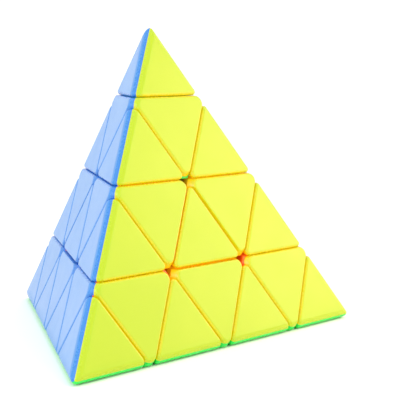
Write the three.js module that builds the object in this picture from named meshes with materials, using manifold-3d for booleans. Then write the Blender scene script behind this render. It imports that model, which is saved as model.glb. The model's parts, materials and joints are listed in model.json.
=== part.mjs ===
// Four-layer pyramid twisty puzzle: a tetrahedron of separate moulded pieces that turn about its four
// corner axes. Millimetres, +Z up, resting on its green face with that face's centre at the origin.
import * as THREE from "three";
import { ConvexGeometry } from "three/addons/geometries/ConvexGeometry.js";
import { mergeVertices } from "three/addons/utils/BufferGeometryUtils.js";
import Module from "manifold-3d";

const wasm = await Module();
wasm.setup();

// ---- overall size and the look of the tiles ----
const EDGE = 104;                      // edge of the tetrahedron before its edges are rounded
const SEAM = 0.4;                      // open line between neighbouring tiles
const RIDGE_ROUND = 2;                 // rounding along the tetrahedron's own edges
const TILE_CORNER = 1.7;               // rounding of the points of every tile, seen square on
const RIM_CHAMFER = 0.55;              // softened rim of every tile
const FILLET_FLATS = 2;                // flats that stand for each rounding
const LAYER = EDGE * Math.sqrt(2 / 3) / 4; // thickness of each of the four layers

// ---- core, and the feet and flanges that slide round it ----
const FLANGE_COVER = 4.2;              // from the outside of the flanges to the coloured faces
const FLANGE_WIDTH = 3.4;              // how far the flanges overlap outside the feet
const FOOT_THICKNESS = 3.2;            // of a foot, measured out from the core
const CORE_GAP = 0.6;                  // between the core and the feet
const FLANGE_RADIUS = LAYER - FLANGE_COVER;
const FOOT_RADIUS = FLANGE_RADIUS - FLANGE_WIDTH;
const CORE_RADIUS = FOOT_RADIUS - FOOT_THICKNESS - CORE_GAP;
const FOOT_ANGLE = THREE.MathUtils.degToRad(6); // how far feet and flanges reach past the cut plane
const FOOT_ROOT = 0.6;                 // thickness of the web between a flange and its tile
const MOVING_GAP = 0.5;                // between neighbours inside the mechanism
const SEAM_EASE = 0.1;                 // deep cuts are left this much proud for the round cutters

// ---- round track under each corner, and the wing feet that slide in it ----
const LIP_THICKNESS = 2;               // the lip that holds the wing feet down
const UNDERCUT = 2.2;                  // how far the track reaches under the lip
const WING_FOOT_THICKNESS = 1.3;       // the part of a wing's foot that is under the lip
const STEM_THICKNESS = 2.75;           // of a wing's stem, out from the corner axis
const FOOT_GAP = 0.35;                 // round a wing's foot
const BOSS_GAP = 0.6;                  // between a wing's stem and the boss of the hub
const FOOT_HALF_TURN = THREE.MathUtils.degToRad(33); // half the arc of a wing's foot
const TRACK_DEPTH = LIP_THICKNESS + WING_FOOT_THICKNESS + 2 * FOOT_GAP;
const BOSS_RADIUS = LAYER / Math.sqrt(8) - SEAM / 2; // the boss just fits inside the three deep cuts
const STEM_START = BOSS_RADIUS + BOSS_GAP;
const STEM_RADIUS = STEM_START + STEM_THICKNESS;
const LIP_RADIUS = STEM_RADIUS + FOOT_GAP;
const TRACK_OUTSIDE = LIP_RADIUS + UNDERCUT;
const STEM_ROOT = 1;                   // how deep the stem is set into its tile

// ---- screw, spring and washer of each axis ----
const BORE_GAP = 0.35;                 // between a bore and what turns in it
const SCREW_RADIUS = 1.4;
const SCREW_START = 4.2;               // inner end of the thread, from the middle of the core
const HEAD_OVERHANG = 1.5;             // how far the head reaches past the thread
const HEAD_HEIGHT = 2;
const HEAD_BEVEL = 0.6;
const SOCKET_RADIUS = 1.3;
const SOCKET_DEPTH = 1.1;
const WIRE_RADIUS = 0.35;
const SPRING_LENGTH = 4.7;             // centre line, between first and last coil
const SPRING_TURNS = 4;
const WASHER_THICKNESS = 0.6;
const BORE_RADIUS = SCREW_RADIUS + BORE_GAP;
const HEAD_RADIUS = SCREW_RADIUS + HEAD_OVERHANG;
const SPRING_RADIUS = HEAD_RADIUS - WIRE_RADIUS;
const HEAD_BOTTOM = 2 * LAYER;
const WASHER_TOP = HEAD_BOTTOM - BORE_GAP;
const WASHER_BOTTOM = WASHER_TOP - WASHER_THICKNESS;
const SPRING_TOP = WASHER_BOTTOM - BORE_GAP - WIRE_RADIUS;

// ---- two-part tip ----
const CAP_WALL = 2;
const PLATE_THICKNESS = 2;
const INNER_CHAMFER = 0.3;             // of the cap's hollow, the plate and the wing feet
const HEAD_ROOM = 0.55;                // between the screw head and the tube round it
const TUBE_WALL = 1.15;
const TUBE_FLOOR = 1.5;
const TUBE_BORE = HEAD_RADIUS + HEAD_ROOM;
const TUBE_RADIUS = TUBE_BORE + TUBE_WALL;
const TUBE_FLOOR_TOP = SPRING_TOP - SPRING_LENGTH - WIRE_RADIUS - BORE_GAP;
const TUBE_BOTTOM = TUBE_FLOOR_TOP - TUBE_FLOOR;

const SIDES = 24;                      // facets round a full turn
const FAR = EDGE;                      // beyond any part of the puzzle
const ABS = { roughness: 0.42, metalness: 0 };
const STEEL = { roughness: 0.3, metalness: 0.9 };
const COLOUR = {
  green: "#1fc84c",
  yellow: "#f4ff63",
  blue: "#8db8f2",
  red: "#d8262c",
  orange: "#e2571a",
  core: "#e9e6df",
  steel: "#b9bcc0",
};

// ---- the four corner axes, from the centre to the corners ----
const AXIS = {
  T: new THREE.Vector3(0, 0, 1),
  L: new THREE.Vector3(-EDGE / 2, -EDGE / Math.sqrt(12), -LAYER).normalize(),
  R: new THREE.Vector3(EDGE / 2, -EDGE / Math.sqrt(12), -LAYER).normalize(),
  B: new THREE.Vector3(0, EDGE / Math.sqrt(3), -LAYER).normalize(),
};
const CORNERS = ["T", "L", "R", "B"];
const PLACE = { T: "top", L: "left", R: "right", B: "back" };
const FACE_COLOUR = { T: "green", L: "red", R: "blue", B: "yellow" }; // the face opposite each corner
const others = (...used) => CORNERS.filter((c) => !used.includes(c));

// The turn that takes the top-left pair of axes to the pair (first, second).
function turnTo(first, second) {
  const frame = (a, b) => {
    const side = b.clone().addScaledVector(a, -a.dot(b)).normalize();
    return new THREE.Matrix4().makeBasis(a, side, a.clone().cross(side));
  };
  const from = frame(AXIS.T, AXIS.L).invert();
  return frame(AXIS[first], AXIS[second]).multiply(from);
}

// The turn that takes the top corner's pieces to another corner.
function turnToCorner(corner) {
  const partner = { T: "L", L: "T", R: "B", B: "R" };
  return turnTo(corner, partner[corner]);
}

// ---- solids ----
function solid(geometry) {
  const bare = geometry.clone();
  bare.deleteAttribute("normal");
  bare.deleteAttribute("uv");
  const joined = mergeVertices(bare, 1e-4);
  const mesh = new wasm.Mesh({
    numProp: 3,
    vertProperties: joined.attributes.position.array,
    triVerts: new Uint32Array(joined.index.array),
  });
  return new wasm.Manifold(mesh);
}

function geometryOf(body) {
  const mesh = body.getMesh();
  const geometry = new THREE.BufferGeometry();
  geometry.setAttribute("position", new THREE.BufferAttribute(mesh.vertProperties, 3));
  geometry.setIndex(new THREE.BufferAttribute(mesh.triVerts, 1));
  const flat = geometry.toNonIndexed();
  flat.computeVertexNormals();
  return flat;
}

// A solid turned about one corner axis, from its outline of (radius, height) points.
function turned(outline, corner = "T", sides = SIDES) {
  const points = outline.map(([r, z]) => new THREE.Vector2(r, z));
  const geometry = new THREE.LatheGeometry(points, sides);
  geometry.rotateX(Math.PI / 2);
  geometry.applyMatrix4(turnToCorner(corner));
  return solid(geometry);
}

function rod(radius, low, high, corner = "T", sides = SIDES) {
  return turned([[0, low], [radius, low], [radius, high], [0, high]], corner, sides);
}

function ball(radius) {
  return solid(new THREE.SphereGeometry(radius, 20, 12));
}

// The convex body inside a list of planes (outward normal, distance), with every edge chamfered.
function chamfered(planes, chamfer) {
  const inside = planes.map(([n, h]) => [n, h - chamfer]);
  const points = [];
  for (const [corner, met] of cornersOf(inside)) {
    for (const n of met) {
      points.push(corner.clone().addScaledVector(n, chamfer));
    }
  }
  return solid(new ConvexGeometry(points));
}

// Each corner of the body inside some planes, with the normals of the planes that meet there.
function cornersOf(planes) {
  const found = [];
  for (let i = 0; i < planes.length; i++) {
    for (let j = i + 1; j < planes.length; j++) {
      for (let k = j + 1; k < planes.length; k++) {
        const p = meetingPoint(planes[i], planes[j], planes[k]);
        if (!p || planes.some(([n, h]) => n.dot(p) > h + 1e-6)) continue;
        if (found.some(([q]) => q.distanceTo(p) < 1e-5)) continue;
        const met = planes.filter(([n, h]) => Math.abs(n.dot(p) - h) < 1e-6);
        found.push([p, met.map(([n]) => n)]);
      }
    }
  }
  return found;
}

function meetingPoint([a, ha], [b, hb], [c, hc]) {
  const bc = b.clone().cross(c);
  const volume = a.dot(bc);
  if (Math.abs(volume) < 1e-6) return null;
  const p = bc.multiplyScalar(ha);
  p.addScaledVector(c.clone().cross(a), hb);
  p.addScaledVector(a.clone().cross(b), hc);
  return p.divideScalar(volume);
}

// Planes across a corner axis, counted in layers from the centre of the puzzle. The last entry of a
// plane says whether it is a coloured face of the tetrahedron.
const below = (corner, layers, gap = SEAM / 2) => [AXIS[corner].clone(), layers * LAYER - gap, false];
const above = (corner, layers, gap = SEAM / 2) => [
  AXIS[corner].clone().negate(), -layers * LAYER - gap, false,
];
const face = (corner) => [AXIS[corner].clone().negate(), LAYER, true];
const deepBelow = (corner) => below(corner, 0, SEAM / 2 - SEAM_EASE);
const deepAbove = (corner) => above(corner, 0, SEAM / 2 - SEAM_EASE);

// The same planes, with flats that round each sharp wedge: between two cuts, and between two faces.
function filleted(planes) {
  const met = cornersOf(planes).map(([p]) => p);
  const flats = [];
  planes.forEach((a, i) => {
    for (const b of planes.slice(i + 1)) {
      const sharp = a[0].dot(b[0]) < -0.3 && a[2] === b[2];
      const touch = met.some((p) => a[1] - a[0].dot(p) < 1e-4 && b[1] - b[0].dot(p) < 1e-4);
      if (sharp && touch) flats.push(...wedgeFlats(a, b, a[2] ? RIDGE_ROUND : TILE_CORNER));
    }
  });
  return [...planes, ...flats];
}

function wedgeFlats([a, ha, kind], [b, hb], radius) {
  const dot = a.dot(b);
  const middle = a.clone().multiplyScalar((ha - radius - (hb - radius) * dot) / (1 - dot * dot));
  middle.addScaledVector(b, (hb - radius - (ha - radius) * dot) / (1 - dot * dot));
  const angle = a.angleTo(b);
  const flats = [];
  for (let k = 1; k <= FILLET_FLATS; k++) {
    const share = k / (FILLET_FLATS + 1);
    const n = a.clone().multiplyScalar(Math.sin((1 - share) * angle));
    n.addScaledVector(b, Math.sin(share * angle)).normalize();
    flats.push([n, n.dot(middle) + radius, kind]);
  }
  return flats;
}

function outerBody(planes) {
  return chamfered(filleted(planes), RIM_CHAMFER);
}

// Everything on the corner's side of its deep cut, grown or shrunk by `gap` all over.
function deepSide(corner, gap) {
  const foot = FOOT_RADIUS - gap;
  const flange = FLANGE_RADIUS + gap;
  const across = Math.cos(FOOT_ANGLE);
  const up = Math.sin(FOOT_ANGLE);
  return turned([
    [0, gap],
    [foot * across, gap - foot * up],
    [foot * across, gap + foot * up],
    [flange * across, gap + flange * up],
    [flange, gap],
    [FAR, gap],
    [FAR, FAR],
    [0, FAR],
  ], corner);
}

// Gives a piece its feet round the core: it is on the corner side of the deep cuts of `kept`.
function withFeet(body, kept) {
  let made = body.add(ball(FLANGE_RADIUS + FOOT_ROOT));
  for (const corner of kept) {
    made = made.intersect(deepSide(corner, MOVING_GAP / 2));
  }
  for (const corner of others(...kept)) {
    made = made.subtract(deepSide(corner, -MOVING_GAP / 2));
  }
  return made.subtract(ball(CORE_RADIUS + CORE_GAP));
}

// The round track of one corner, as cut into the pieces under its lip.
function track(corner) {
  const floor = LAYER - TRACK_DEPTH;
  const lip = LAYER - LIP_THICKNESS;
  return turned([
    [0, floor],
    [TRACK_OUTSIDE, floor],
    [TRACK_OUTSIDE, lip],
    [LIP_RADIUS, lip],
    [LIP_RADIUS, LAYER + 1],
    [0, LAYER + 1],
  ], corner);
}

// ---- pieces, each made once for the top or top-left place ----
const screwBore = () => rod(BORE_RADIUS, 0, FAR, "T", 14);

function innerHub() {
  const planes = [below("T", 1), ...["L", "R", "B"].map((c) => deepBelow(c))];
  const body = withFeet(chamfered(planes, RIM_CHAMFER), ["T"]);
  const envelope = turned([
    [0, 0],
    [FAR, 0],
    [FAR, LAYER - TRACK_DEPTH],
    [BOSS_RADIUS, LAYER - TRACK_DEPTH],
    [BOSS_RADIUS, LAYER],
    [0, LAYER],
  ]);
  return body.intersect(envelope).subtract(screwBore());
}

function middleEdge() {
  const planes = [
    deepAbove("T"), deepAbove("L"), deepBelow("R"), deepBelow("B"),
    below("T", 1), below("L", 1), face("R"), face("B"),
  ];
  const body = withFeet(outerBody(planes), ["T", "L"]);
  return body.subtract(track("T")).subtract(track("L"));
}

function faceCentre() {
  const planes = [deepAbove("L"), deepAbove("R"), deepAbove("B"), face("T")];
  let body = withFeet(outerBody(planes), ["L", "R", "B"]);
  for (const corner of ["L", "R", "B"]) {
    body = body.subtract(track(corner));
  }
  return body;
}

function cornerCentre() {
  const planes = [below("T", 2), above("T", 1)];
  for (const c of ["L", "R", "B"]) {
    planes.push(below(c, 0), face(c));
  }
  const pocket = rod(TUBE_RADIUS + BORE_GAP, TUBE_BOTTOM - BORE_GAP, FAR);
  return outerBody(planes).subtract(pocket).subtract(screwBore());
}

function edgeWing() {
  const planes = [above("T", 1), above("L", 0), face("R"), face("B")];
  return outerBody(planes).add(wingFoot());
}

// The foot of the top-left wing: a stem down from the tile and a flange that slides under the lip.
function wingFoot() {
  const bottom = LAYER - TRACK_DEPTH + FOOT_GAP;
  const top = LAYER - LIP_THICKNESS - FOOT_GAP;
  const flange = TRACK_OUTSIDE - FOOT_GAP;
  const ring = turned([
    [0, bottom],
    [flange, bottom],
    [flange, top],
    [STEM_RADIUS, top],
    [STEM_RADIUS, LAYER + STEM_ROOT],
    [0, LAYER + STEM_ROOT],
  ], "T", 48);
  const out = AXIS.L.clone().setZ(0).normalize();
  const across = out.clone().cross(AXIS.T);
  const halfWidth = STEM_RADIUS * Math.sin(FOOT_HALF_TURN);
  const trim = chamfered([
    above("L", 0),
    [out.clone().negate(), -STEM_START],
    [out, FAR],
    [across, halfWidth],
    [across.clone().negate(), halfWidth],
    [AXIS.T, FAR],
    [AXIS.T.clone().negate(), FAR],
  ], INNER_CHAMFER);
  return ring.intersect(trim);
}

// The three coloured faces over a tip, set in by a wall.
function tipPlanes(inset) {
  return ["L", "R", "B"].map((c) => [face(c)[0], face(c)[1] - inset, true]);
}

function tipCap() {
  const body = outerBody([above("T", 2), ...tipPlanes(0)]);
  const hollow = chamfered([above("T", 2, -PLATE_THICKNESS), ...tipPlanes(CAP_WALL)], INNER_CHAMFER);
  return body.subtract(hollow);
}

function tipBase() {
  const low = 2 * LAYER + SEAM / 2;
  const lid = below("T", 2, -SEAM / 2 - PLATE_THICKNESS);
  const walls = tipPlanes(CAP_WALL + BORE_GAP);
  const plate = chamfered([above("T", 2), lid, ...walls], INNER_CHAMFER);
  const tube = rod(TUBE_RADIUS, TUBE_BOTTOM, low + PLATE_THICKNESS / 2);
  const fitted = tube.intersect(chamfered([above("T", 1), lid, ...walls], INNER_CHAMFER));
  const inside = rod(TUBE_BORE, TUBE_FLOOR_TOP, FAR);
  return plate.add(fitted).subtract(inside).subtract(screwBore());
}

function axleScrew() {
  const top = HEAD_BOTTOM + HEAD_HEIGHT;
  const body = turned([
    [0, SCREW_START],
    [SCREW_RADIUS / 2, SCREW_START],
    [SCREW_RADIUS, SCREW_START + SCREW_RADIUS / 2],
    [SCREW_RADIUS, HEAD_BOTTOM],
    [HEAD_RADIUS, HEAD_BOTTOM],
    [HEAD_RADIUS, top - HEAD_BEVEL],
    [HEAD_RADIUS - HEAD_BEVEL, top],
    [0, top],
  ], "T", 14);
  return body.subtract(rod(SOCKET_RADIUS, top - SOCKET_DEPTH, top + 1, "T", 6));
}

class Helix extends THREE.Curve {
  getPoint(t, target = new THREE.Vector3()) {
    const angle = 2 * Math.PI * SPRING_TURNS * t;
    const height = SPRING_TOP - SPRING_LENGTH * (1 - t);
    return target.set(SPRING_RADIUS * Math.cos(angle), SPRING_RADIUS * Math.sin(angle), height);
  }
}

function axleSpring() {
  const wire = new THREE.Shape();
  for (let i = 0; i < 5; i++) {
    const angle = i * 2 * Math.PI / 5;
    const point = [WIRE_RADIUS * Math.cos(angle), WIRE_RADIUS * Math.sin(angle)];
    if (i === 0) wire.moveTo(...point);
    else wire.lineTo(...point);
  }
  const options = { steps: 8 * SPRING_TURNS, extrudePath: new Helix(), curveSegments: 1 };
  return solid(new THREE.ExtrudeGeometry(wire, options));
}

function springWasher() {
  return rod(HEAD_RADIUS, WASHER_BOTTOM, WASHER_TOP, "T", 18).subtract(screwBore());
}

function core() {
  let body = ball(CORE_RADIUS);
  for (const corner of CORNERS) {
    const hole = rod(BORE_RADIUS, SCREW_START - BORE_GAP, FAR, corner, 20);
    body = body.subtract(hole);
  }
  return body;
}

// ---- assembly ----
const puzzle = new THREE.Group();
puzzle.name = "pyramid_puzzle";
puzzle.position.z = LAYER;

const MADE = {};
const make = (kind, shape) => {
  MADE[kind] = geometryOf(shape());
};
make("inner_hub", innerHub);
make("middle_edge", middleEdge);
make("face_centre", faceCentre);
make("corner_centre", cornerCentre);
make("edge_wing", edgeWing);
make("tip_cap", tipCap);
make("tip_base", tipBase);
make("axle_screw", axleScrew);
make("axle_spring", axleSpring);
make("spring_washer", springWasher);
make("core", core);

function place(kind, name, colour, finish, turn) {
  const material = new THREE.MeshStandardMaterial({ color: COLOUR[colour], ...finish });
  const mesh = new THREE.Mesh(MADE[kind], material);
  mesh.name = name;
  mesh.quaternion.setFromRotationMatrix(turn);
  puzzle.add(mesh);
}

// Of the faces a piece shows, the one nearest the front names its plastic.
function mainColour(...away) {
  return FACE_COLOUR[["B", "R", "L", "T"].find((c) => !away.includes(c))];
}

place("core", "core", "core", ABS, turnTo("T", "L"));
for (const c of CORNERS) {
  const turn = turnToCorner(c);
  place("axle_screw", `axle_screw_${PLACE[c]}`, "steel", STEEL, turn);
  place("axle_spring", `axle_spring_${PLACE[c]}`, "steel", STEEL, turn);
  place("spring_washer", `spring_washer_${PLACE[c]}`, "steel", STEEL, turn);
  place("inner_hub", `inner_hub_${PLACE[c]}`, "orange", ABS, turn);
  place("corner_centre", `corner_centre_${PLACE[c]}`, mainColour(c), ABS, turn);
  place("tip_base", `tip_base_${PLACE[c]}`, mainColour(c), ABS, turn);
  place("tip_cap", `tip_cap_${PLACE[c]}`, mainColour(c), ABS, turn);
  place("face_centre", `face_centre_${FACE_COLOUR[c]}`, FACE_COLOUR[c], ABS, turn);
}
CORNERS.forEach((a, i) => {
  for (const b of others(a)) {
    const turn = turnTo(a, b);
    place("edge_wing", `edge_wing_${PLACE[a]}_to_${PLACE[b]}`, mainColour(a, b), ABS, turn);
    if (CORNERS.indexOf(b) > i) {
      place("middle_edge", `middle_edge_${PLACE[a]}_${PLACE[b]}`, mainColour(a, b), ABS, turn);
    }
  }
});

export default puzzle;
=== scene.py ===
import json
import math

import bmesh
import bpy
import numpy as np
from mathutils import Matrix, Vector


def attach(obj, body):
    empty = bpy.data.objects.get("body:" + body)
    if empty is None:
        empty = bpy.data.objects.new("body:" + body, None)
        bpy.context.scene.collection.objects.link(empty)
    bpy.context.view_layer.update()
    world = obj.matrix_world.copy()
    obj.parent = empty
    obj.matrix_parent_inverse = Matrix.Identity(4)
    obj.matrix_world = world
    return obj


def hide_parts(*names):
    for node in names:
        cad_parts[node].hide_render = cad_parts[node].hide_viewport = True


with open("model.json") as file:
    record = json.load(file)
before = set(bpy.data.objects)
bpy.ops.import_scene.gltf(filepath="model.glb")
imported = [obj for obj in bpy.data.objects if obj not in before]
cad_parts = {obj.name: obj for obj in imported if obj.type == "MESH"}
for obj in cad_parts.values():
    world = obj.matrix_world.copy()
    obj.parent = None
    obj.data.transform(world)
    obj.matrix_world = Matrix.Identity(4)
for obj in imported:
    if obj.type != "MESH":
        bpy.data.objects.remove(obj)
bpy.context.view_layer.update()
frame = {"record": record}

mm = 0.001

# ---------------------------------------------------------------------------------------------
# The four hubs: orange ABS pieces under the corners, each held to the core by its screw. A hub's
# round boss is the middle of the track that the corner's wings slide in, and its flange holds the
# feet of its neighbours down. Every piece is laid out from the four corner axes it turns about.
# ---------------------------------------------------------------------------------------------
corners = ("top", "left", "right", "back")
joints = {j["name"]: j for j in frame["record"]["behaviour"]["joints"]}
middle = Vector(joints["upper_layers_turn"]["pos_m"])
axis = {c: Vector(joints[f"corner_{c}_turn"]["axis"]).normalized() for c in corners}
layer = middle.z
face_colour = {"top": "green", "left": "red", "right": "blue", "back": "yellow"}

seam = 0.1 * mm                 # open line between tiles, below their rounded rims
core_ball = 10.4 * mm           # inside of the feet round the core
foot_radius = 13.6 * mm
flange_radius = 17 * mm
foot_angle = math.radians(6)
gap = 0.5 * mm                  # between the moving feet and flanges
foot_stock = 0.6 * mm           # the ball that the feet are cut from stands this far past a flange
track_depth = 4 * mm
boss_radius = 7.3 * mm
screw_bore = 1.75 * mm
far = 5 * layer
smooth_round = 72               # sides of a full turn


def other_corners(*used):
    return [c for c in corners if c not in used]


def turn_to(first, second):
    """The turn that takes the top-left pair of corner axes to another pair."""
    def frame_of(a, b):
        side = (b - a * a.dot(b)).normalized()
        return Matrix((a, side, a.cross(side))).transposed()
    m = frame_of(axis[first], axis[second]) @ frame_of(axis["top"], axis["left"]).transposed()
    return m.to_4x4()


partner = {"top": "left", "left": "top", "right": "back", "back": "right"}


def turn_to_corner(c):
    return turn_to(c, partner[c])


def made_object(name, points, faces):
    mesh = bpy.data.meshes.new(name)
    mesh.from_pydata([tuple(p) for p in points], [], faces)
    made = bmesh.new()
    made.from_mesh(mesh)
    bmesh.ops.recalc_face_normals(made, faces=made.faces)
    made.to_mesh(mesh)
    made.free()
    o = bpy.data.objects.new(name, mesh)
    bpy.context.scene.collection.objects.link(o)
    return o


def turned_solid(outline, c="top", sides=smooth_round):
    """A solid turned about a corner axis from its outline of (radius, height) points."""
    points, faces, rings = [], [], []
    for r, z in outline:
        if r < 1e-9:
            rings.append([len(points)])
            points.append(Vector((0, 0, z)))
        else:
            rings.append(list(range(len(points), len(points) + sides)))
            for i in range(sides):
                t = 2 * math.pi * i / sides
                points.append(Vector((r * math.cos(t), r * math.sin(t), z)))
    for low, high in zip(rings, rings[1:]):
        for i in range(sides):
            j = (i + 1) % sides
            quad = [low[i % len(low)], low[j % len(low)], high[j % len(high)], high[i % len(high)]]
            face = [v for k, v in enumerate(quad) if v != quad[k - 1]]
            if len(face) > 2:
                faces.append(face)
    turn = turn_to_corner(c).to_3x3()
    return made_object("turned", [turn @ p for p in points], faces)


def rod(radius, low, high, c="top", sides=smooth_round):
    return turned_solid([(0, low), (radius, low), (radius, high), (0, high)], c, sides)


def ball(radius):
    outline = [(radius * math.sin(t), -radius * math.cos(t))
               for t in [math.pi * k / 24 for k in range(25)]]
    outline[0] = (0, -radius)
    outline[-1] = (0, radius)
    return turned_solid(outline, sides=48)


def carve(body, tool, operation="DIFFERENCE"):
    """Joins, cuts or trims a body with a tool, which is used up."""
    m = body.modifiers.new("carve", "BOOLEAN")
    m.operation = operation
    m.solver = "MANIFOLD"
    m.object = tool
    shaped = bpy.data.meshes.new_from_object(
        body.evaluated_get(bpy.context.evaluated_depsgraph_get()))
    body.modifiers.remove(m)
    body.data = shaped
    bpy.data.objects.remove(tool)
    if not len(shaped.polygons):
        raise RuntimeError("a carve left nothing of " + body.name)
    return body


# Planes across a corner axis: (outward normal, distance from the middle, is it a coloured face).
def under(c, layers, half=seam / 2):
    return (axis[c].copy(), layers * layer - half, False)


hair = 3e-6                     # planes are set in by up to this, so that only three meet in a point


def meeting_points(planes):
    """Each corner of the body inside some planes, with the indices of the three planes that meet there."""
    n = np.array([tuple(p[0]) for p in planes], float)
    h = np.array([p[1] for p in planes])
    h -= hair * np.array([i * 29 % 17 / 16 for i in range(len(planes))])
    found = []
    for i in range(len(planes)):
        for j in range(i + 1, len(planes)):
            for k in range(j + 1, len(planes)):
                m = n[[i, j, k]]
                if abs(np.linalg.det(m)) < 1e-4:
                    continue
                p = np.linalg.solve(m, h[[i, j, k]])
                if (n @ p > h + 1e-12).any():
                    continue
                found.append((Vector(p), [i, j, k]))
    return found


def fillet_planes(planes, radius, steps):
    """Planes that round the sharp wedge between two planes to a radius."""
    (a, ha, kind), (b, hb, _) = planes
    dot = a.dot(b)
    ia, ib = ha - radius, hb - radius
    c = (a * (ia - ib * dot) + b * (ib - ia * dot)) / (1 - dot * dot)
    made = []
    for k in range(1, steps + 1):
        n = between(a, b, k / (steps + 1))
        made.append((n, n.dot(c) + radius, kind))
    return made


def between(a, b, t):
    """The unit direction a share t of the way round from a to b."""
    angle = a.angle(b)
    if angle < 1e-6:
        return a.copy()
    return (a * math.sin((1 - t) * angle) + b * math.sin(t * angle)).normalized()


def softened_body(name, planes, ease):
    """The convex body inside some planes with every edge and point rounded to the radius `ease`."""
    inner = [(n, h - ease, k) for n, h, k in planes]
    met = meeting_points(inner)
    used = [i for i in range(len(inner)) if sum(i in m for _, m in met) > 2]
    points, faces, index = [], [], {}

    def spot(key, p):
        if key not in index:
            index[key] = len(points)
            points.append(p)
        return index[key]

    normal = [p[0] for p in inner]
    rings = {}
    for v, (p, m) in enumerate(met):
        m = [i for i in m if i in used]
        mid = sum((normal[i] for i in m), Vector()).normalized()
        u = (normal[m[0]] - mid * mid.dot(normal[m[0]])).normalized()
        w = mid.cross(u)
        m.sort(key=lambda i: math.atan2(normal[i].dot(w), normal[i].dot(u)))
        ring = []
        for a, b in zip(m, m[1:] + m[:1]):
            for s in range(steps_between(normal[a], normal[b])):
                ring.append(arc_key(v, a, b, s, normal))
        rings[v] = (ring, mid, len(m))
        for key in ring:
            spot(key, p + direction(key, normal) * ease)
    for v, (ring, mid, _) in rings.items():
        p = met[v][0]
        last = [index[k] for k in ring]
        spread = max(mid.angle(direction(k, normal)) for k in ring)
        count = max(1, math.ceil(spread / math.radians(16)))
        for r in range(1, count):
            this = [spot((v, "in", r, k), p + between(direction(k, normal), mid, r / count) * ease)
                    for k in ring]
            for i in range(len(ring)):
                j = (i + 1) % len(ring)
                faces.append((last[i], last[j], this[j], this[i]))
            last = this
        top = spot((v, "top"), p + mid * ease)
        for i in range(len(ring)):
            faces.append((last[i], last[(i + 1) % len(ring)], top))
    edges = {}
    for f in used:
        n = normal[f]
        own = [v for v, (_, m) in enumerate(met) if f in m]
        mid = sum((met[v][0] for v in own), Vector()) / len(own)
        u = (met[own[0]][0] - mid).normalized()
        w = n.cross(u)
        own.sort(key=lambda v: math.atan2((met[v][0] - mid).dot(w), (met[v][0] - mid).dot(u)))
        faces.append([index[(v, "n", f)] for v in own])
        for a, b in zip(own, own[1:] + own[:1]):
            edges.setdefault((min(a, b), max(a, b)), []).append((f, a, b))
    for pair in edges.values():
        if len(pair) != 2:
            raise RuntimeError("an open edge in " + name)
        (f, a, b), (g, _, _) = pair
        for s in range(steps_between(normal[f], normal[g])):
            k = [arc_key(v, f, g, t, normal) for v, t in ((b, s), (a, s), (a, s + 1), (b, s + 1))]
            faces.append([index[x] for x in k])
    return made_object(name, points, faces)


def steps_between(a, b):
    return max(1, math.ceil(a.angle(b) / math.radians(14)))


def arc_key(v, a, b, s, normal):
    """One name for a point on the arc round corner v from plane a to plane b."""
    total = steps_between(normal[a], normal[b])
    if s == 0:
        return (v, "n", a)
    if s == total:
        return (v, "n", b)
    return (v, "arc", a, b, s, total) if a < b else (v, "arc", b, a, total - s, total)


def direction(key, normal):
    if key[1] == "n":
        return normal[key[2]]
    return between(normal[key[2]], normal[key[3]], key[4] / key[5])


def filleted(planes, cut_radius, face_radius, steps=5):
    """Adds the planes that round each sharp wedge: between two cuts, and between two coloured faces."""
    met = meeting_points(planes)
    added = []
    for i in range(len(planes)):
        for j in range(i + 1, len(planes)):
            a, b = planes[i], planes[j]
            sharp = a[0].dot(b[0]) < -0.3 and a[2] == b[2]
            near = [p for p, _ in met if max(h - n.dot(p) for n, h, _ in (a, b)) < seam]
            if sharp and near:
                added += fillet_planes((a, b), face_radius if a[2] else cut_radius, steps)
    return planes + added


def deep_side(c, shrink):
    """Everything on a corner's side of its deep cut, with the steps that feet and flanges follow."""
    foot, flange = foot_radius - shrink, flange_radius + shrink
    across, up = math.cos(foot_angle), math.sin(foot_angle)
    return turned_solid([
        (0, shrink),
        (foot * across, shrink - foot * up),
        (foot * across, shrink + foot * up),
        (flange * across, shrink + flange * up),
        (flange, shrink),
        (far, shrink),
        (far, far),
        (0, far),
    ], c)


def with_feet(body, kept):
    """Gives a piece its feet: it lies on the corner side of the deep cuts of the corners in `kept`."""
    carve(body, ball(flange_radius + foot_stock), "UNION")
    for c in kept:
        carve(body, deep_side(c, gap / 2), "INTERSECT")
    for c in other_corners(*kept):
        carve(body, deep_side(c, -gap / 2))
    return carve(body, ball(core_ball))


wrap_step = 0.3 * mm            # how far one shell laps the next one round an edge, in steps
wraps = {"green": 2, "blue": 1, "red": 1, "yellow": 0}
crease = math.radians(32)       # sharper edges than this stay sharp
rim_depth = 1.5 * mm            # how far down from its face a tile's rim is rounded or rubbed, and has painted shade


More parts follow.
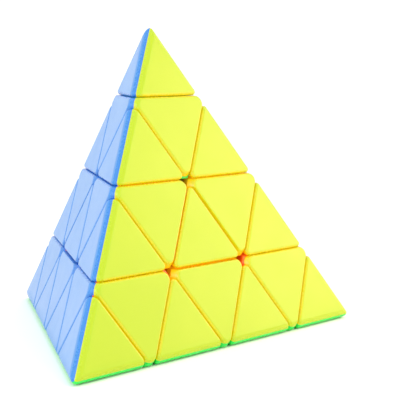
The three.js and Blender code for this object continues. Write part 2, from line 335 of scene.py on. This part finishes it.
def finish_skin(o, faces, shell=None):
    """Splits a piece where its colours meet, smooths it, and notes on each point how far over a tile's
    rounded edge it lies, which sets the rubbed gloss and the painted shade there.
    """
    shape = bmesh.new()
    shape.from_mesh(o.data)
    for i, a in enumerate(faces):
        for b in faces[i + 1:]:
            across = axis[a] - axis[b]
            for shift in (-2, -1, 0, 1, 2):
                bmesh.ops.bisect_plane(shape, geom=shape.verts[:] + shape.edges[:] + shape.faces[:],
                                       plane_co=across * (shift * wrap_step / across.length_squared),
                                       plane_no=across, dist=1e-7)
        if shell:
            bmesh.ops.bisect_plane(shape, geom=shape.verts[:] + shape.edges[:] + shape.faces[:],
                                   plane_co=axis[a] * (shell - layer), plane_no=axis[a], dist=1e-7)
    bmesh.ops.dissolve_degenerate(shape, edges=shape.edges[:], dist=2e-6)
    shape.to_mesh(o.data)
    shape.free()
    o.data.polygons.foreach_set("use_smooth", [True] * len(o.data.polygons))
    o.data.set_sharp_from_angle(angle=crease)
    steady = o.modifiers.new("steady", "WEIGHTED_NORMAL")
    steady.keep_sharp = True
    steady.weight = 100
    view = bpy.context.evaluated_depsgraph_get()
    settled = bpy.data.meshes.new_from_object(
        o.evaluated_get(view), preserve_all_data_layers=True, depsgraph=view)
    o.modifiers.remove(steady)
    o.data = settled
    crest = o.data.attributes.new("crest", "FLOAT", "POINT")
    for v in o.data.vertices:
        below = sorted((layer + v.co.dot(axis[c]), v.normal.angle(-axis[c], 0)) for c in faces)
        if below and below[0][0] < rim_depth:
            crest.data[v.index].value = min(1, max(0, (below[0][1] - 0.15) / 0.5))
    return o


body_of_node = {n: b for b, ns in frame["record"]["behaviour"]["bodies"].items() for n in ns}


def put_in_place(shape, name, turn, faces, plastics, node, shell=None):
    """Sets a copy of a finished shape in its place, with each coloured shell in its plastic."""
    piece = bpy.data.objects.new(name, shape.data.copy())
    bpy.context.scene.collection.objects.link(piece)
    piece.data.transform(turn)
    piece.data.materials.clear()
    for p in plastics:
        piece.data.materials.append(p)
    if len(plastics) > 1:
        for poly in piece.data.polygons:
            near = [poly.center.dot(axis[c]) for c in faces]
            reach = [n - wraps[face_colour[c]] * wrap_step for n, c in zip(near, faces)]
            poly.material_index = reach.index(min(reach))  # the shell that reaches it
            if shell and layer + min(near) > shell:
                poly.material_index = len(faces)         # the body under the shells
    piece.data.transform(Matrix.Translation(middle))
    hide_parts(node)
    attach(piece, body_of_node[node])
    return piece


def moulded_plastic(name, colour, shade, rim_painted_shade, ridge_painted_light_and_shade, seam_painted_shade_and_glow, rough, glow=0.35):
    """Injection-moulded ABS: dyed through, with a satin skin and polished rims, painted shade on its
    rounded edges, ridges and seams (painted light on the green ridges), and a painted glow in the seams.
    """
    m = bpy.data.materials.new(name)
    m.use_nodes = True
    nodes, links = m.node_tree.nodes, m.node_tree.links
    shader = nodes["Principled BSDF"]
    shader.inputs["Subsurface Weight"].default_value = glow
    shader.inputs["Subsurface Radius"].default_value = tuple(0.15 + c for c in colour)
    shader.inputs["Subsurface Scale"].default_value = 1.6 * mm
    shader.inputs["IOR"].default_value = 1.52
    place = nodes.new("ShaderNodeTexCoord")

    def noise(scale, detail, rough_detail=0.5):
        n = nodes.new("ShaderNodeTexNoise")
        n.inputs["Scale"].default_value = scale
        n.inputs["Detail"].default_value = detail
        n.inputs["Roughness"].default_value = rough_detail
        links.new(place.outputs["Object"], n.inputs["Vector"])
        return n.outputs["Fac"]

    def ranged(value, low, high, to_low, to_high, kind="LINEAR"):
        r = nodes.new("ShaderNodeMapRange")
        r.interpolation_type = kind
        r.inputs["From Min"].default_value = low
        r.inputs["From Max"].default_value = high
        r.inputs["To Min"].default_value = to_low
        r.inputs["To Max"].default_value = to_high
        links.new(value, r.inputs["Value"])
        return r.outputs["Result"]

    def sum_of(a, b, operation="ADD"):
        s = nodes.new("ShaderNodeMath")
        s.operation = operation
        links.new(a, s.inputs[0])
        if isinstance(b, float):
            s.inputs[1].default_value = b
        else:
            links.new(b, s.inputs[1])
        return s.outputs["Value"]

    def below_face(c):
        """How far a point of the plastic lies below the coloured face opposite a corner."""
        along = nodes.new("ShaderNodeVectorMath")
        along.operation = "DOT_PRODUCT"
        along.inputs[1].default_value = axis[c]
        links.new(place.outputs["Object"], along.inputs[0])
        return sum_of(along.outputs["Value"], layer - middle.dot(axis[c]))

    def blend(factor, a, b, mode="MIX"):
        x = nodes.new("ShaderNodeMix")
        x.data_type = "RGBA"
        x.blend_type = mode
        if isinstance(factor, float):
            x.inputs[0].default_value = factor
        else:
            links.new(factor, x.inputs[0])
        for socket, value in ((x.inputs[6], a), (x.inputs[7], b)):
            if isinstance(value, tuple):
                socket.default_value = (*value, 1)
            else:
                links.new(value, socket)
        return x.outputs[2]

    def attribute(name):
        a = nodes.new("ShaderNodeAttribute")
        a.attribute_name = name
        return a.outputs["Fac"]

    crest = attribute("crest")
    pairs = [[below_face(c) for c in two] for two in (corners[:2], corners[2:])]
    least = [sum_of(a, b, "MINIMUM") for a, b in pairs]
    most = [sum_of(a, b, "MAXIMUM") for a, b in pairs]
    depth = sum_of(*least, "MINIMUM")
    second = sum_of(sum_of(*least, "MAXIMUM"), sum_of(*most, "MINIMUM"), "MINIMUM")
    # colour: faint flow clouds in the melt, painted shade on the rounded edges and along the ridges
    # (painted light on green ridges), and painted shade with a painted glow in the seams
    clouds = ranged(noise(60, 2), 0.35, 0.65, 0.0, 1.0)
    base = blend(clouds, colour, shade)
    # painted shade on the rounded rims of the tiles
    base = blend(sum_of(crest, 0.75, "MULTIPLY"), base, rim_painted_shade)
    # painted shade along the tetrahedron's ridges, and painted light on the green ones
    base = blend(ranged(second, 0.3 * mm, 4.5 * mm, 1.0, 0.0, "SMOOTHSTEP"), base, ridge_painted_light_and_shade)
    # painted shade down in the seams: from 0.5 mm below the faces the colour turns to the seam tone
    in_seam = ranged(depth, 0.5 * mm, 1.6 * mm, 0.0, 1.0)
    base = blend(in_seam, base, seam_painted_shade_and_glow)
    # painted glow: the seams give off light in their painted shade colour, strongest just below the faces
    # and gone by 8 mm down
    shader.inputs["Emission Color"].default_value = (*seam_painted_shade_and_glow, 1)
    painted_seam_glow = sum_of(in_seam, ranged(depth, 1.5 * mm, 8 * mm, 0.24, 0.0), "MULTIPLY")
    links.new(painted_seam_glow, shader.inputs["Emission Strength"])
    base = blend(ranged(depth, 5 * mm, 9 * mm, 0.0, 1.0), base, shade)
    links.new(base, shader.inputs["Base Color"])
    # roughness: satin, a little uneven, glossier where fingers rub it
    grain = ranged(noise(1800, 2), 0.3, 0.7, rough - 0.03, rough + 0.04)
    smear = ranged(noise(140, 4, 0.6), 0.35, 0.7, -0.03, 0.04)
    rubbed = sum_of(crest, -0.1, "MULTIPLY")
    links.new(sum_of(sum_of(grain, smear), rubbed), shader.inputs["Roughness"])
    # relief: spark-eroded grain over the slight waviness of a cooled moulding
    fine = nodes.new("ShaderNodeBump")
    fine.inputs["Strength"].default_value = 0.25
    fine.inputs["Distance"].default_value = 0.006 * mm
    links.new(noise(5000, 2), fine.inputs["Height"])
    wave = nodes.new("ShaderNodeBump")
    wave.inputs["Strength"].default_value = 0.4
    wave.inputs["Distance"].default_value = 0.08 * mm
    links.new(noise(90, 1), wave.inputs["Height"])
    links.new(fine.outputs["Normal"], wave.inputs["Normal"])
    links.new(wave.outputs["Normal"], shader.inputs["Normal"])
    return m


# colours: tone, second tone for the flow clouds, painted shade on the rims, painted shade along the
# ridges, painted shade and glow in the seams; then roughness
hub_orange = moulded_plastic("hub_orange", (0.90, 0.20, 0.015), (0.86, 0.18, 0.012), (0.90, 0.22, 0.02),
                             (0.90, 0.20, 0.015), (0.80, 0.11, 0.010), 0.42)
hub_round, hub_ease = 0.8 * mm, 0.4 * mm
boss_root = 0.5 * mm
boss_bevel, boss_bevel_height = 0.4 * mm, 0.6 * mm
hub = softened_body("hub", filleted(
    [under("top", 1)] + [under(c, 0, 0) for c in other_corners("top")],
    hub_round, hub_round), hub_ease)
with_feet(hub, ["top"])
carve(hub, turned_solid([
    (0, 0),
    (far, 0),
    (far, layer - track_depth),
    (boss_radius + boss_root, layer - track_depth),
    (boss_radius, layer - track_depth + boss_root),
    (boss_radius, layer - boss_bevel_height),
    (boss_radius - boss_bevel, layer),
    (0, layer),
]), "INTERSECT")
carve(hub, rod(screw_bore, 0, far))
finish_skin(hub, [])
for c in corners:
    node = f"inner_hub_{c}"
    put_in_place(hub, f"hub_{c}", turn_to_corner(c), [], [hub_orange], node)

# ---------------------------------------------------------------------------------------------
# The four face centres: one coloured tile each, in the middle of a face, on a neck that ends in
# a three-sided foot next to the core. The flanges of the middle edges hold the foot in.
# ---------------------------------------------------------------------------------------------
lip = 2 * mm
track_radius = 11 * mm
undercut = 2.2 * mm
tile_corner = 2.3 * mm          # rounding of a tile's points, seen square on
sharp_corner = 1.3 * mm         # the same on the face centres and the wings, which are finer
tile_edge = 0.85 * mm            # rounding round the rim of every tile
ridge_round = 2.2 * mm          # rounding along the tetrahedron's own edges
cut_ease = 0.05 * mm            # deep cuts are finished by the turned tools

# colours: tone, second tone for the flow clouds, painted shade on the rims, painted shade along the ridges
# (painted light on green), painted shade and glow in the seams; then roughness
plastic = {
    "yellow": moulded_plastic("abs_yellow", (0.45, 0.60, 0.009), (0.435, 0.59, 0.008),
                              (0.76, 0.60, 0.006), (0.40, 0.60, 0.004), (0.93, 0.54, 0.004), 0.36),
    "blue": moulded_plastic("abs_sky_blue", (0.20, 0.375, 0.70), (0.185, 0.36, 0.69), (0.05, 0.22, 0.62),
                            (0.035, 0.235, 0.60), (0.01, 0.12, 0.55), 0.36),
    "green": moulded_plastic("abs_green", (0.02, 0.55, 0.07), (0.018, 0.52, 0.06), (0.02, 0.52, 0.05),
                             (0.03, 0.80, 0.10), (0.01, 0.55, 0.04), 0.36),
    "red": moulded_plastic("abs_red", (0.58, 0.016, 0.020), (0.56, 0.014, 0.018), (0.52, 0.010, 0.012),
                           (0.56, 0.012, 0.016), (0.42, 0.006, 0.008), 0.36),
}


def over(c, layers, half=seam / 2):
    return (-axis[c], -layers * layer - half, False)


def tile_face(c):
    return (-axis[c], layer, True)


def track(c):
    floor = layer - track_depth
    return turned_solid([
        (0, floor),
        (track_radius + undercut, floor),
        (track_radius + undercut, layer - lip),
        (track_radius, layer - lip),
        (track_radius, layer + 1 * mm),
        (0, layer + 1 * mm),
    ], c)


face_centre = softened_body("face_centre", filleted(
    [over(c, 0, seam / 2 - cut_ease) for c in other_corners("top")] + [tile_face("top")],
    sharp_corner, ridge_round), tile_edge)
with_feet(face_centre, other_corners("top"))
for c in other_corners("top"):
    carve(face_centre, track(c))
finish_skin(face_centre, ["top"])
for c in corners:
    colour = face_colour[c]
    node = f"face_centre_{colour}"
    put_in_place(face_centre, f"centre_tile_{colour}", turn_to_corner(c), [c], [plastic[colour]],
                 node)

# ---------------------------------------------------------------------------------------------
# The six middle edges: two coloured shells clipped together along the tetrahedron's edge, with a
# foot by the core. The wings of two corners slide under the lips cut in their upper sides.
# ---------------------------------------------------------------------------------------------
middle_edge = softened_body("middle_edge", filleted(
    [over(c, 0, seam / 2 - cut_ease) for c in ("top", "left")]
    + [under(c, 0, seam / 2 - cut_ease) for c in ("right", "back")]
    + [under("top", 1), under("left", 1), tile_face("right"), tile_face("back")],
    tile_corner, ridge_round), tile_edge)
with_feet(middle_edge, ["top", "left"])
carve(middle_edge, track("top"))
carve(middle_edge, track("left"))
finish_skin(middle_edge, ["right", "back"])
for i, a in enumerate(corners):
    for b in corners[i + 1:]:
        node = f"middle_edge_{a}_{b}"
        shown = other_corners(a, b)
        put_in_place(middle_edge, f"edge_{a}_{b}", turn_to(a, b), shown,
                     [plastic[face_colour[c]] for c in shown], node)

# ---------------------------------------------------------------------------------------------
# The four corner centres: three coloured shells round a bored body that turns on the axle screw.
# Each carries its corner's three wings round with it, and its tip turns in the bore.
# ---------------------------------------------------------------------------------------------
close_fit = 0.01 * mm           # wings lie close against their corner, as they turn with it
tube_radius = 4.6 * mm
tube_reach = 8.55 * mm
tube_bottom = 2 * layer - tube_reach
running_gap = 0.35 * mm
tube_top = 2 * layer + 1 * mm   # past the cut between the corner and its tip
body_corner, body_ease = 0.9 * mm, 0.3 * mm
body_set_in = 0.1 * mm          # of the body under the shells
shell_depth = 1.3 * mm

corner_centre = softened_body("corner_centre", filleted(
    [under("top", 2), over("top", 1)]
    + [under(c, 0, close_fit) for c in other_corners("top")]
    + [tile_face(c) for c in other_corners("top")],
    tile_corner, ridge_round), tile_edge)
# the body's own points are finer than the shells', and show past them in the gaps
carve(corner_centre, softened_body("corner_body", filleted(
    [under("top", 2), over("top", 1)]
    + [under(c, 0, close_fit) for c in other_corners("top")]
    + [(-axis[c], layer - shell_depth - body_set_in, True) for c in other_corners("top")],
    body_corner, ridge_round), body_ease), "UNION")
carve(corner_centre, rod(tube_radius + running_gap, tube_bottom - running_gap, tube_top))
carve(corner_centre, rod(screw_bore, 0, 2 * layer))
finish_skin(corner_centre, other_corners("top"), shell_depth)
for c in corners:
    node = f"corner_centre_{c}"
    shown = other_corners(c)
    inner_body = plastic["green"] if c == "top" else hub_orange
    put_in_place(corner_centre, f"corner_{c}", turn_to_corner(c), shown,
                 [plastic[face_colour[f]] for f in shown] + [inner_body], node, shell_depth)

# ---------------------------------------------------------------------------------------------
# The twelve wings: two coloured shells on a stem whose foot slides in the round track under the
# corner, so that a wing goes round with its corner and can't be pulled out.
# ---------------------------------------------------------------------------------------------
stem_start = 7.9 * mm
foot_gap = 0.35 * mm
foot_half_turn = math.radians(33)

wing = softened_body("wing", filleted(
    [over("top", 1), over("left", 0, close_fit), tile_face("right"), tile_face("back")],
    sharp_corner, ridge_round), tile_edge)
stem_radius = track_radius - foot_gap
foot = turned_solid([
    (0, layer - track_depth + foot_gap),
    (track_radius + undercut - foot_gap - 0.3 * mm, layer - track_depth + foot_gap),
    (track_radius + undercut - foot_gap, layer - track_depth + foot_gap + 0.3 * mm),
    (track_radius + undercut - foot_gap, layer - lip - foot_gap - 0.3 * mm),
    (track_radius + undercut - foot_gap - 0.3 * mm, layer - lip - foot_gap),
    (stem_radius, layer - lip - foot_gap),
    (stem_radius, layer + 1 * mm),
    (0, layer + 1 * mm),
], sides=144)
outward = Vector((axis["left"].x, axis["left"].y, 0)).normalized()
sideways = Vector((-outward.y, outward.x, 0))
half_width = stem_radius * math.sin(foot_half_turn)
trim = softened_body("trim", [
    over("left", 0, close_fit),
    (-outward, -stem_start, False),
    (outward, far, False),
    (sideways, half_width, False),
    (-sideways, half_width, False),
    (Vector((0, 0, 1)), far, False),
    (Vector((0, 0, -1)), far, False),
], 0.4 * mm)
carve(foot, trim, "INTERSECT")
carve(wing, foot, "UNION")
finish_skin(wing, ["right", "back"])
for a in corners:
    for b in other_corners(a):
        node = f"edge_wing_{a}_to_{b}"
        shown = other_corners(a, b)
        # the canonical wing shows the faces opposite right and back, in the turned places
        put_in_place(wing, f"wing_{a}_to_{b}", turn_to(a, b), shown,
                     [plastic[face_colour[c]] for c in shown], node)

# ---------------------------------------------------------------------------------------------
# The four tips: a base with a tube that turns in the corner centre's bore round the spring and the
# screw head, and a three-coloured cap clipped over it.
# ---------------------------------------------------------------------------------------------
cap_wall = 2 * mm
tip_cap = softened_body("tip_cap", filleted(
    [over("top", 2)] + [tile_face(c) for c in other_corners("top")],
    tile_corner, ridge_round), tile_edge)
hollow = softened_body("hollow", [over("top", 1.9)] + [
    (-axis[c], layer - cap_wall, True) for c in other_corners("top")], 0.3 * mm)
carve(tip_cap, hollow)
finish_skin(tip_cap, other_corners("top"))
for c in corners:
    node = f"tip_cap_{c}"
    shown = other_corners(c)
    put_in_place(tip_cap, f"cap_{c}", turn_to_corner(c), shown,
                 [plastic[face_colour[f]] for f in shown], node)

head_radius = 2.9 * mm          # of the axle screw
head_room = 0.55 * mm
plate_thickness = 2 * mm
tube_floor = 1.5 * mm
inner_ease = 0.3 * mm
tube_bore = head_radius + head_room
plate_top = under("top", 2, -plate_thickness - seam / 2)
base_walls = [(-axis[c], layer - cap_wall - running_gap, True) for c in other_corners("top")]
tip_base = softened_body("tip_base", [over("top", 2), plate_top] + base_walls, inner_ease)
tube = rod(tube_radius, tube_bottom, tube_top)
tube_room = softened_body("tube_room", [over("top", 1), plate_top] + base_walls, inner_ease)
carve(tube, tube_room, "INTERSECT")
carve(tip_base, tube, "UNION")
carve(tip_base, rod(tube_bore, tube_bottom + tube_floor, far))
carve(tip_base, rod(screw_bore, 0, far))
finish_skin(tip_base, [])
for c in corners:
    put_in_place(tip_base, f"base_{c}", turn_to_corner(c), [], [plastic[face_colour[c]]],
                 f"tip_base_{c}")

# ---------------------------------------------------------------------------------------------
# The core, and on each of its four axes a zinc-plated screw with a hex socket, a washer, and a
# spring of 0.7 mm steel wire that keeps the corner pressed against its hub.
# ---------------------------------------------------------------------------------------------
screw_radius = 1.4 * mm
thread_start = 4.2 * mm
head_height = 2 * mm
head_bevel = 0.5 * mm
wire_radius = 0.35 * mm
spring_length = 4.7 * mm
spring_turns = 4.5
washer_thickness = 0.6 * mm
washer_top = 2 * layer - running_gap
washer_bottom = washer_top - washer_thickness
spring_top = washer_bottom - running_gap - wire_radius
socket_radius, socket_depth = 1.3 * mm, 1.1 * mm
thread_lead, thread_length, thread_turns = 1 * mm, 8 * mm, 10.0
thread_sink, thread_height = 0.05 * mm, 0.25 * mm
under_head_bevel = 0.15 * mm

core_radius = 9.8 * mm

# colours: tone, second tone for the flow clouds, painted shade on the rims, painted shade along the
# ridges, painted shade and glow in the seams; then roughness
nylon = moulded_plastic("nylon_natural", (0.74, 0.72, 0.66), (0.70, 0.67, 0.60), (0.78, 0.76, 0.70),
                        (0.74, 0.72, 0.66), (0.50, 0.47, 0.40), 0.5)
bright_steel = bpy.data.materials.new("zinc_plated_steel")
bright_steel.use_nodes = True
steel = bright_steel.node_tree
steel_shader = steel.nodes["Principled BSDF"]
steel_shader.inputs["Metallic"].default_value = 1.0
steel_place = steel.nodes.new("ShaderNodeTexCoord")
steel_grain = steel.nodes.new("ShaderNodeTexNoise")
steel_grain.inputs["Scale"].default_value = 2200
steel_grain.inputs["Detail"].default_value = 4
steel_tone = steel.nodes.new("ShaderNodeMapRange")
steel_tone.inputs["To Min"].default_value = 0.22
steel_tone.inputs["To Max"].default_value = 0.42
steel_colour = steel.nodes.new("ShaderNodeValToRGB")
steel_colour.color_ramp.elements[0].color = (0.42, 0.43, 0.45, 1)
steel_colour.color_ramp.elements[1].color = (0.70, 0.71, 0.72, 1)
steel_bump = steel.nodes.new("ShaderNodeBump")
steel_bump.inputs["Distance"].default_value = 0.01 * mm
steel.links.new(steel_place.outputs["Object"], steel_grain.inputs["Vector"])
steel.links.new(steel_grain.outputs["Fac"], steel_tone.inputs["Value"])
steel.links.new(steel_grain.outputs["Fac"], steel_colour.inputs["Fac"])
steel.links.new(steel_grain.outputs["Fac"], steel_bump.inputs["Height"])
steel.links.new(steel_tone.outputs["Result"], steel_shader.inputs["Roughness"])
steel.links.new(steel_colour.outputs["Color"], steel_shader.inputs["Base Color"])
steel.links.new(steel_bump.outputs["Normal"], steel_shader.inputs["Normal"])

core = ball(core_radius)
for c in corners:
    carve(core, rod(screw_bore, thread_start - running_gap, far, c))
finish_skin(core, [])
put_in_place(core, "core_ball", Matrix.Identity(4), [], [nylon], "core")


def coil_nodes():
    """A wire wound round the vertical axis: turns, winding radius, height and wire are inputs."""
    group = bpy.data.node_groups.new("coil", "GeometryNodeTree")
    for name, kind in (("Turns", "NodeSocketFloat"), ("Radius", "NodeSocketFloat"),
                       ("Height", "NodeSocketFloat"), ("Wire", "NodeSocketFloat"),
                       ("Sides", "NodeSocketInt"), ("Material", "NodeSocketMaterial")):
        group.interface.new_socket(name, in_out="INPUT", socket_type=kind)
    group.interface.new_socket("Geometry", in_out="OUTPUT", socket_type="NodeSocketGeometry")
    given = group.nodes.new("NodeGroupInput")
    spiral = group.nodes.new("GeometryNodeCurveSpiral")
    spiral.inputs["Resolution"].default_value = 32
    ring = group.nodes.new("GeometryNodeCurvePrimitiveCircle")
    sweep = group.nodes.new("GeometryNodeCurveToMesh")
    sweep.inputs["Fill Caps"].default_value = True
    smooth = group.nodes.new("GeometryNodeSetShadeSmooth")
    real = group.nodes.new("GeometryNodeRealizeInstances")
    paint = group.nodes.new("GeometryNodeSetMaterial")
    made = group.nodes.new("NodeGroupOutput")
    link = group.links.new
    link(given.outputs["Turns"], spiral.inputs["Rotations"])
    link(given.outputs["Radius"], spiral.inputs["Start Radius"])
    link(given.outputs["Radius"], spiral.inputs["End Radius"])
    link(given.outputs["Height"], spiral.inputs["Height"])
    link(given.outputs["Wire"], ring.inputs["Radius"])
    link(given.outputs["Sides"], ring.inputs["Resolution"])
    link(spiral.outputs["Curve"], sweep.inputs["Curve"])
    link(ring.outputs["Curve"], sweep.inputs["Profile Curve"])
    link(sweep.outputs["Mesh"], smooth.inputs["Geometry"])
    link(smooth.outputs["Geometry"], real.inputs["Geometry"])
    link(real.outputs["Geometry"], paint.inputs["Geometry"])
    link(given.outputs["Material"], paint.inputs["Material"])
    link(paint.outputs["Geometry"], made.inputs["Geometry"])
    return group


coil_group = coil_nodes()


def coil(name, low, **sizes):
    """A wound wire on the top axis, made by the coil nodes, as a plain mesh."""
    o = bpy.data.objects.new(name, bpy.data.meshes.new(name))
    bpy.context.scene.collection.objects.link(o)
    wind = o.modifiers.new("coil", "NODES")
    wind.node_group = coil_group
    for socket in coil_group.interface.items_tree:
        if socket.name in sizes:
            wind[socket.identifier] = sizes[socket.name]
    view = bpy.context.evaluated_depsgraph_get()
    wound = bpy.data.meshes.new_from_object(o.evaluated_get(view), depsgraph=view)
    o.modifiers.remove(wind)
    o.data = wound
    o.data.transform(Matrix.Translation((0, 0, low)))
    if not len(o.data.polygons):
        raise RuntimeError("the coil nodes made nothing for " + name)
    return o


screw = turned_solid([
    (0, thread_start),
    (screw_radius / 2, thread_start),
    (screw_radius, thread_start + screw_radius / 2),
    (screw_radius, 2 * layer),
    (head_radius - under_head_bevel, 2 * layer),
    (head_radius, 2 * layer + under_head_bevel),
    (head_radius, 2 * layer + head_height - head_bevel),
    (head_radius - 0.3 * head_bevel, 2 * layer + head_height - 0.3 * head_bevel),
    (head_radius - head_bevel, 2 * layer + head_height),
    (0, 2 * layer + head_height),
])
carve(screw, rod(socket_radius, 2 * layer + head_height - socket_depth, far, sides=6))
thread = coil("thread", thread_start + thread_lead, Turns=thread_turns, Radius=screw_radius - thread_sink,
              Height=thread_length, Wire=thread_height, Sides=3, Material=bright_steel)
carve(screw, thread, "UNION")
finish_skin(screw, [])
spring = coil("spring", spring_top - spring_length, Turns=spring_turns, Radius=head_radius - wire_radius,
              Height=spring_length, Wire=wire_radius, Sides=12, Material=bright_steel)
washer = carve(rod(head_radius, washer_bottom, washer_top), rod(screw_bore, 0, far))
finish_skin(washer, [])
for c in corners:
    turn = turn_to_corner(c)
    put_in_place(screw, f"screw_{c}", turn, [], [bright_steel], f"axle_screw_{c}")
    put_in_place(spring, f"spring_{c}", turn, [], [bright_steel], f"axle_spring_{c}")
    put_in_place(washer, f"washer_{c}", turn, [], [bright_steel], f"spring_washer_{c}")
for spare in (hub, face_centre, middle_edge, corner_centre, wing, tip_cap, tip_base, core, screw,
              spring, washer):
    bpy.data.objects.remove(spare)

# ---------------------------------------------------------------------------------------------
# The studio: a flat pale floor, a white surround, two soft lamps and a broad sky panel, and the
# camera low in front of the edge between the blue and the yellow faces.
# ---------------------------------------------------------------------------------------------
floor_mat = bpy.data.materials.new("studio_paper")
floor_mat.use_nodes = True
paper = floor_mat.node_tree.nodes["Principled BSDF"]
paper.inputs["Base Color"].default_value = (0.93, 0.93, 0.93, 1)
paper.inputs["Roughness"].default_value = 0.8
floor = made_object("studio_floor", [
    (-60, -60, 0), (60, -60, 0), (60, 60, 0), (-60, 60, 0)], [(0, 1, 2, 3)])
floor.data.materials.append(floor_mat)

world = bpy.data.worlds.new("studio")
world.use_nodes = True
world.node_tree.nodes["Background"].inputs["Color"].default_value = (1, 1, 1, 1)
world.node_tree.nodes["Background"].inputs["Strength"].default_value = 1.1
bpy.context.scene.world = world


def lamp(name, place, power, size, colour, aim=(0, 0, 0.04)):
    data = bpy.data.lights.new(name, "AREA")
    data.energy, data.size, data.color = power, size, colour
    o = bpy.data.objects.new(name, data)
    o.location = place
    o.rotation_mode = "QUATERNION"
    o.rotation_quaternion = (Vector(aim) - Vector(place)).to_track_quat("-Z", "Y")
    bpy.context.scene.collection.objects.link(o)


lamp("warm_softbox", (0.21, -0.15, 0.12), 0.42, 0.16, (1.0, 0.60, 0.35))
lamp("cool_softbox", (-0.34, -0.12, 0.22), 0.45, 0.25, (0.80, 1.0, 1.0))
sun_data = bpy.data.lights.new("sky_panel", "SUN")
sun_data.energy, sun_data.angle = 0.35, math.radians(60)
sun = bpy.data.objects.new("sky_panel", sun_data)
bpy.context.scene.collection.objects.link(sun)

bpy.context.scene.view_settings.view_transform = "Standard"

camera_data = bpy.data.cameras.new("camera")
camera = bpy.data.objects.new("camera", camera_data)
bpy.context.scene.collection.objects.link(camera)
bpy.context.scene.camera = camera
camera_data.sensor_width = 36
camera_data.lens = 99.1
azimuth, elevation, distance = math.radians(-44.7), math.radians(7.75), 0.3088
aside, up = -0.01541, 0.00286
back = Vector((math.sin(azimuth) * math.cos(elevation), -math.cos(azimuth) * math.cos(elevation),
               math.sin(elevation)))
right = (-back).cross(Vector((0, 0, 1))).normalized()
upward = right.cross(-back)
target = Vector((0, 0, 0.0364))
camera.location = target + back * distance - right * aside - upward * up
camera.rotation_mode = "QUATERNION"
camera.rotation_quaternion = (-back).to_track_quat("-Z", "Y")
camera_data.clip_start, camera_data.clip_end = 0.01, 200
